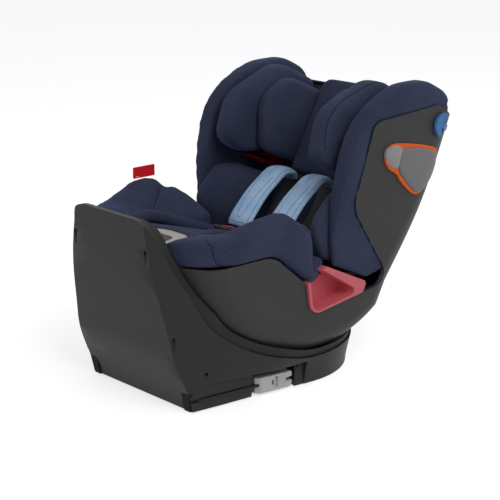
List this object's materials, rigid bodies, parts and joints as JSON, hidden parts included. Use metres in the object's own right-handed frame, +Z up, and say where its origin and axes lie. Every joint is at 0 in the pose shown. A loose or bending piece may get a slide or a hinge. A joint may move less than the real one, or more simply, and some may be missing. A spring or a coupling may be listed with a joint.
{
  "type": "convertible car seat",
  "caption": "Convertible child car seat in padded navy fabric on a grey swivelling ISOFIX base, with a height-adjustable headrest, harness and side guards.",
  "frame": {"origin": "on the floor, on the axis that the seat turns about on its base", "axes": "+Z up; -Y towards the base's tall front panel, the way the child faces; +Y towards the backrest; +X towards the seat's left-hand side"},
  "size_m": [0.4546, 0.7066, 0.5507],
  "materials": {
    "dark_plastic": "matte, finely grained moulding",
    "foot_rubber": "matte rubber",
    "rail_plastic": "smooth moulding",
    "navy_fabric": "fine woven cover, padded, with seams",
    "sky_fabric": "heathered light blue cover, stitched",
    "dark_red_plastic": "satin moulding",
    "red_plastic": "satin moulding",
    "grey_plastic": "satin moulding",
    "orange_plastic": "satin moulding",
    "blue_plastic": "satin moulding",
    "light_grey_plastic": "satin moulding",
    "webbing": "tight woven webbing",
    "black_plastic": "satin moulding",
    "button_red": "satin moulding",
    "bright_steel": "stamped and tumbled",
    "tag_red": "smooth woven label",
    "connector_plastic": "satin moulding",
    "dark_steel": "black coated steel"
  },
  "bodies": {
    "base": {"base_shell": "dark_plastic", "bowl_liner": "dark_plastic", "base_tray": "dark_plastic", "rubber_feet": "foot_rubber", "isofix_bracket_r": "dark_steel", "isofix_bracket_l": "dark_steel", "isofix_pin_r": "dark_steel", "isofix_pin_l": "dark_steel"},
    "turntable": {"turntable": "dark_plastic", "turntable_keeper": "dark_plastic"},
    "seat": {"recline_rails": "rail_plastic", "seat_shell": "dark_plastic", "seat_pan": "dark_plastic", "seat_cushion": "navy_fabric", "thigh_bolster_r": "navy_fabric", "thigh_bolster_l": "navy_fabric", "torso_bolster_r": "navy_fabric", "torso_bolster_l": "navy_fabric", "back_pad": "navy_fabric", "wing_r": "navy_fabric", "wing_l": "navy_fabric", "top_cover": "navy_fabric", "belt_hook_r": "blue_plastic", "belt_hook_l": "blue_plastic", "lower_belt_guide_r": "red_plastic", "lower_belt_guide_l": "red_plastic", "handle_housing": "light_grey_plastic", "shoulder_strap_r": "webbing", "shoulder_pad_r": "sky_fabric", "shoulder_strap_l": "webbing", "shoulder_pad_l": "sky_fabric", "crotch_strap": "webbing", "buckle": "black_plastic", "buckle_tongue": "bright_steel", "side_tag": "tag_red"},
    "headrest": {"headrest_shell": "dark_plastic", "headrest_centre": "navy_fabric", "headrest_cheek_r": "navy_fabric", "headrest_cheek_l": "navy_fabric", "headrest_lobe_r": "navy_fabric", "headrest_lobe_l": "navy_fabric", "upper_belt_guide_r": "dark_red_plastic", "upper_belt_guide_l": "dark_red_plastic"},
    "handle_lever": {"release_lever": "dark_plastic"},
    "buckle_press": {"buckle_button": "button_red"},
    "guard_r": {"side_guard_r": "grey_plastic", "guard_frame_r": "orange_plastic"},
    "connector_r": {"isofix_arm_r": "dark_steel", "isofix_head_r": "connector_plastic"},
    "jaw_r": {"isofix_hook_r": "dark_steel"},
    "release_r": {"isofix_release_r": "connector_plastic"},
    "guard_l": {"side_guard_l": "grey_plastic", "guard_frame_l": "orange_plastic"},
    "connector_l": {"isofix_arm_l": "dark_steel", "isofix_head_l": "connector_plastic"},
    "jaw_l": {"isofix_hook_l": "dark_steel"},
    "release_l": {"isofix_release_l": "connector_plastic"}
  },
  "joints": [
    {"name": "seat_swivel", "type": "hinge", "parent": "base", "child": "turntable", "pos_m": [0, 0, 0], "axis": [0, 0, 1], "continuous": true},
    {"name": "seat_recline", "type": "hinge", "parent": "turntable", "child": "seat", "pos_m": [0, 0, 0.353], "axis": [1, 0, 0], "range_deg": [0, 15]},
    {"name": "headrest_height", "type": "slide", "parent": "seat", "child": "headrest", "axis": [0, 0.4772, 0.8788], "range_m": [0, 0.16]},
    {"name": "handle_lever_pull", "type": "hinge", "parent": "seat", "child": "handle_lever", "pos_m": [0, -0.242, 0.275], "axis": [1, 0, 0], "range_deg": [0, 20], "stiffness_Nm_per_rad": 0.5},
    {"name": "buckle_button_press", "type": "slide", "parent": "seat", "child": "buckle_press", "axis": [0, -0.2764, -0.961], "range_m": [0, 0.003], "stiffness_N_per_m": 400},
    {"name": "guard_slide_r", "type": "slide", "parent": "seat", "child": "guard_r", "axis": [1, 0, 0], "range_m": [0, 0.025]},
    {"name": "connector_swing_r", "type": "hinge", "parent": "base", "child": "connector_r", "pos_m": [0.14, -0.262, 0.022], "axis": [0, 0, -1], "range_deg": [0, 173.3]},
    {"name": "release_slide_r", "type": "slide", "parent": "connector_r", "child": "release_r", "axis": [-0.1167, -0.9932, 0], "range_m": [0, 0.008], "stiffness_N_per_m": 300},
    {"name": "jaw_turn_r", "type": "hinge", "parent": "connector_r", "child": "jaw_r", "pos_m": [0.1589, -0.1011, 0.03], "axis": [0.9932, -0.1167, 0], "range_deg": [0, 25]},
    {"name": "guard_slide_l", "type": "slide", "parent": "seat", "child": "guard_l", "axis": [-1, 0, 0], "range_m": [0, 0.025]},
    {"name": "connector_swing_l", "type": "hinge", "parent": "base", "child": "connector_l", "pos_m": [-0.14, -0.262, 0.022], "axis": [0, 0, 1], "range_deg": [0, 173.3]},
    {"name": "release_slide_l", "type": "slide", "parent": "connector_l", "child": "release_l", "axis": [0.1167, -0.9932, 0], "range_m": [0, 0.008], "stiffness_N_per_m": 300},
    {"name": "jaw_turn_l", "type": "hinge", "parent": "connector_l", "child": "jaw_l", "pos_m": [-0.1589, -0.1011, 0.03], "axis": [0.9932, 0.1167, 0], "range_deg": [0, 25]}
  ],
  "couplings": [
    {"joint": "jaw_turn_r", "follows": "release_slide_r", "rad_per_m": 54.541},
    {"joint": "jaw_turn_l", "follows": "release_slide_l", "rad_per_m": 54.541}
  ]
}
